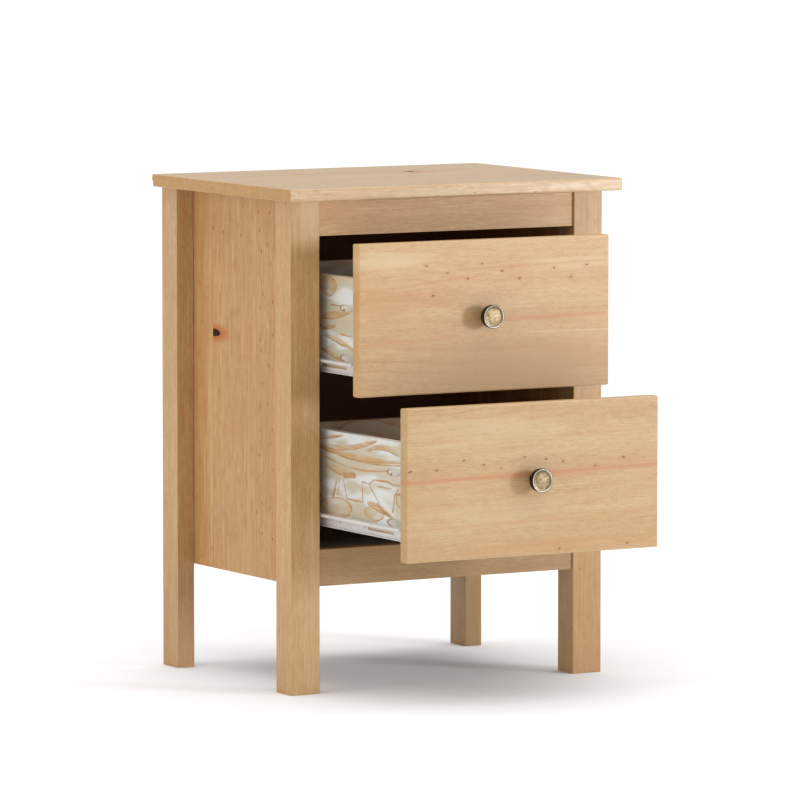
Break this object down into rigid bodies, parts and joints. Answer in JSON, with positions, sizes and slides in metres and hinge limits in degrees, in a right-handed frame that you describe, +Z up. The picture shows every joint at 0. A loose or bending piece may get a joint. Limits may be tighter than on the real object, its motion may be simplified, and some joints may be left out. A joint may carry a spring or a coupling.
{
  "type": "nightstand with drawers",
  "caption": "Small pine nightstand with four legs, recessed side panels and inset drawers that pull out on roller slides, each by a round brass knob.",
  "frame": {"origin": "middle of the four feet, at floor level", "axes": "+Z up, +X to the right as seen from the front, the drawers open towards -Y"},
  "size_m": [0.483, 0.573, 0.635],
  "materials": {
    "pine": "clear satin lacquer on solid pine, fine grain",
    "whitewashed_ply": "thin white wash over pine plywood, grain showing orange-brown",
    "dark_board": "dark stained thin board, matt",
    "beech_dowel": "plain turned dowel",
    "slide_enamel": "off-white epoxy coat, satin",
    "roller_nylon": "natural white nylon",
    "zinc_screw": "zinc-plated steel",
    "antique_brass": "mottled antique brass with darkened sides"
  },
  "bodies": {
    "carcass": {"top_board": "pine", "front_leg_left": "pine", "front_leg_right": "pine", "back_leg_left": "pine", "back_leg_right": "pine", "side_panel_left": "pine", "side_panel_right": "pine", "back_panel": "dark_board", "bottom_panel": "dark_board", "front_top_rail": "pine", "front_bottom_rail": "pine", "back_top_rail": "pine", "back_bottom_rail": "pine", "rail_dowels": "beech_dowel", "panel_dowels": "beech_dowel", "top_screws": "zinc_screw", "leg_screws": "zinc_screw", "back_panel_screws": "zinc_screw", "cabinet_rail_screws": "zinc_screw", "cabinet_roller_rivets": "zinc_screw", "upper_left_cabinet_rail": "slide_enamel", "upper_right_cabinet_rail": "slide_enamel", "lower_left_cabinet_rail": "slide_enamel", "lower_right_cabinet_rail": "slide_enamel"},
    "upper_drawer": {"upper_drawer_front": "pine", "upper_drawer_left_side": "whitewashed_ply", "upper_drawer_right_side": "whitewashed_ply", "upper_drawer_back": "whitewashed_ply", "upper_drawer_bottom": "whitewashed_ply", "upper_drawer_knob": "antique_brass", "upper_drawer_knob_screw": "zinc_screw", "upper_drawer_pocket_screws": "zinc_screw", "upper_drawer_back_screws": "zinc_screw", "upper_left_drawer_rail": "slide_enamel", "upper_right_drawer_rail": "slide_enamel", "upper_drawer_rail_screws": "zinc_screw", "upper_drawer_roller_rivets": "zinc_screw"},
    "upper_left_cabinet_roller": {"upper_left_cabinet_roller": "roller_nylon"},
    "upper_left_drawer_roller": {"upper_left_drawer_roller": "roller_nylon"},
    "upper_right_cabinet_roller": {"upper_right_cabinet_roller": "roller_nylon"},
    "upper_right_drawer_roller": {"upper_right_drawer_roller": "roller_nylon"},
    "lower_drawer": {"lower_drawer_front": "pine", "lower_drawer_left_side": "whitewashed_ply", "lower_drawer_right_side": "whitewashed_ply", "lower_drawer_back": "whitewashed_ply", "lower_drawer_bottom": "whitewashed_ply", "lower_drawer_knob": "antique_brass", "lower_drawer_knob_screw": "zinc_screw", "lower_drawer_pocket_screws": "zinc_screw", "lower_drawer_back_screws": "zinc_screw", "lower_left_drawer_rail": "slide_enamel", "lower_right_drawer_rail": "slide_enamel", "lower_drawer_rail_screws": "zinc_screw", "lower_drawer_roller_rivets": "zinc_screw"},
    "lower_left_cabinet_roller": {"lower_left_cabinet_roller": "roller_nylon"},
    "lower_left_drawer_roller": {"lower_left_drawer_roller": "roller_nylon"},
    "lower_right_cabinet_roller": {"lower_right_cabinet_roller": "roller_nylon"},
    "lower_right_drawer_roller": {"lower_right_drawer_roller": "roller_nylon"}
  },
  "joints": [
    {"name": "upper_drawer_slide", "type": "slide", "parent": "carcass", "child": "upper_drawer", "axis": [0, -1, 0], "range_m": [-0.095, 0.135]},
    {"name": "upper_left_cabinet_roller_spin", "type": "hinge", "parent": "carcass", "child": "upper_left_cabinet_roller", "pos_m": [-0.1784, -0.137, 0.4108], "axis": [1, 0, 0], "continuous": true},
    {"name": "upper_left_drawer_roller_spin", "type": "hinge", "parent": "upper_drawer", "child": "upper_left_drawer_roller", "pos_m": [-0.17985, 0.0455, 0.4073], "axis": [1, 0, 0], "continuous": true},
    {"name": "upper_right_cabinet_roller_spin", "type": "hinge", "parent": "carcass", "child": "upper_right_cabinet_roller", "pos_m": [0.1784, -0.137, 0.4108], "axis": [1, 0, 0], "continuous": true},
    {"name": "upper_right_drawer_roller_spin", "type": "hinge", "parent": "upper_drawer", "child": "upper_right_drawer_roller", "pos_m": [0.17985, 0.0455, 0.4073], "axis": [1, 0, 0], "continuous": true},
    {"name": "lower_drawer_slide", "type": "slide", "parent": "carcass", "child": "lower_drawer", "axis": [0, -1, 0], "range_m": [-0.213, 0.017]},
    {"name": "lower_left_cabinet_roller_spin", "type": "hinge", "parent": "carcass", "child": "lower_left_cabinet_roller", "pos_m": [-0.1784, -0.137, 0.2168], "axis": [1, 0, 0], "continuous": true},
    {"name": "lower_left_drawer_roller_spin", "type": "hinge", "parent": "lower_drawer", "child": "lower_left_drawer_roller", "pos_m": [-0.17985, -0.0725, 0.2133], "axis": [1, 0, 0], "continuous": true},
    {"name": "lower_right_cabinet_roller_spin", "type": "hinge", "parent": "carcass", "child": "lower_right_cabinet_roller", "pos_m": [0.1784, -0.137, 0.2168], "axis": [1, 0, 0], "continuous": true},
    {"name": "lower_right_drawer_roller_spin", "type": "hinge", "parent": "lower_drawer", "child": "lower_right_drawer_roller", "pos_m": [0.17985, -0.0725, 0.2133], "axis": [1, 0, 0], "continuous": true}
  ],
  "couplings": [
    {"joint": "upper_left_cabinet_roller_spin", "follows": "upper_drawer_slide", "rad_per_m": 133.33},
    {"joint": "upper_left_drawer_roller_spin", "follows": "upper_drawer_slide", "rad_per_m": 142.86},
    {"joint": "upper_right_cabinet_roller_spin", "follows": "upper_drawer_slide", "rad_per_m": 133.33},
    {"joint": "upper_right_drawer_roller_spin", "follows": "upper_drawer_slide", "rad_per_m": 142.86},
    {"joint": "lower_left_cabinet_roller_spin", "follows": "lower_drawer_slide", "rad_per_m": 133.33},
    {"joint": "lower_left_drawer_roller_spin", "follows": "lower_drawer_slide", "rad_per_m": 142.86},
    {"joint": "lower_right_cabinet_roller_spin", "follows": "lower_drawer_slide", "rad_per_m": 133.33},
    {"joint": "lower_right_drawer_roller_spin", "follows": "lower_drawer_slide", "rad_per_m": 142.86}
  ]
}
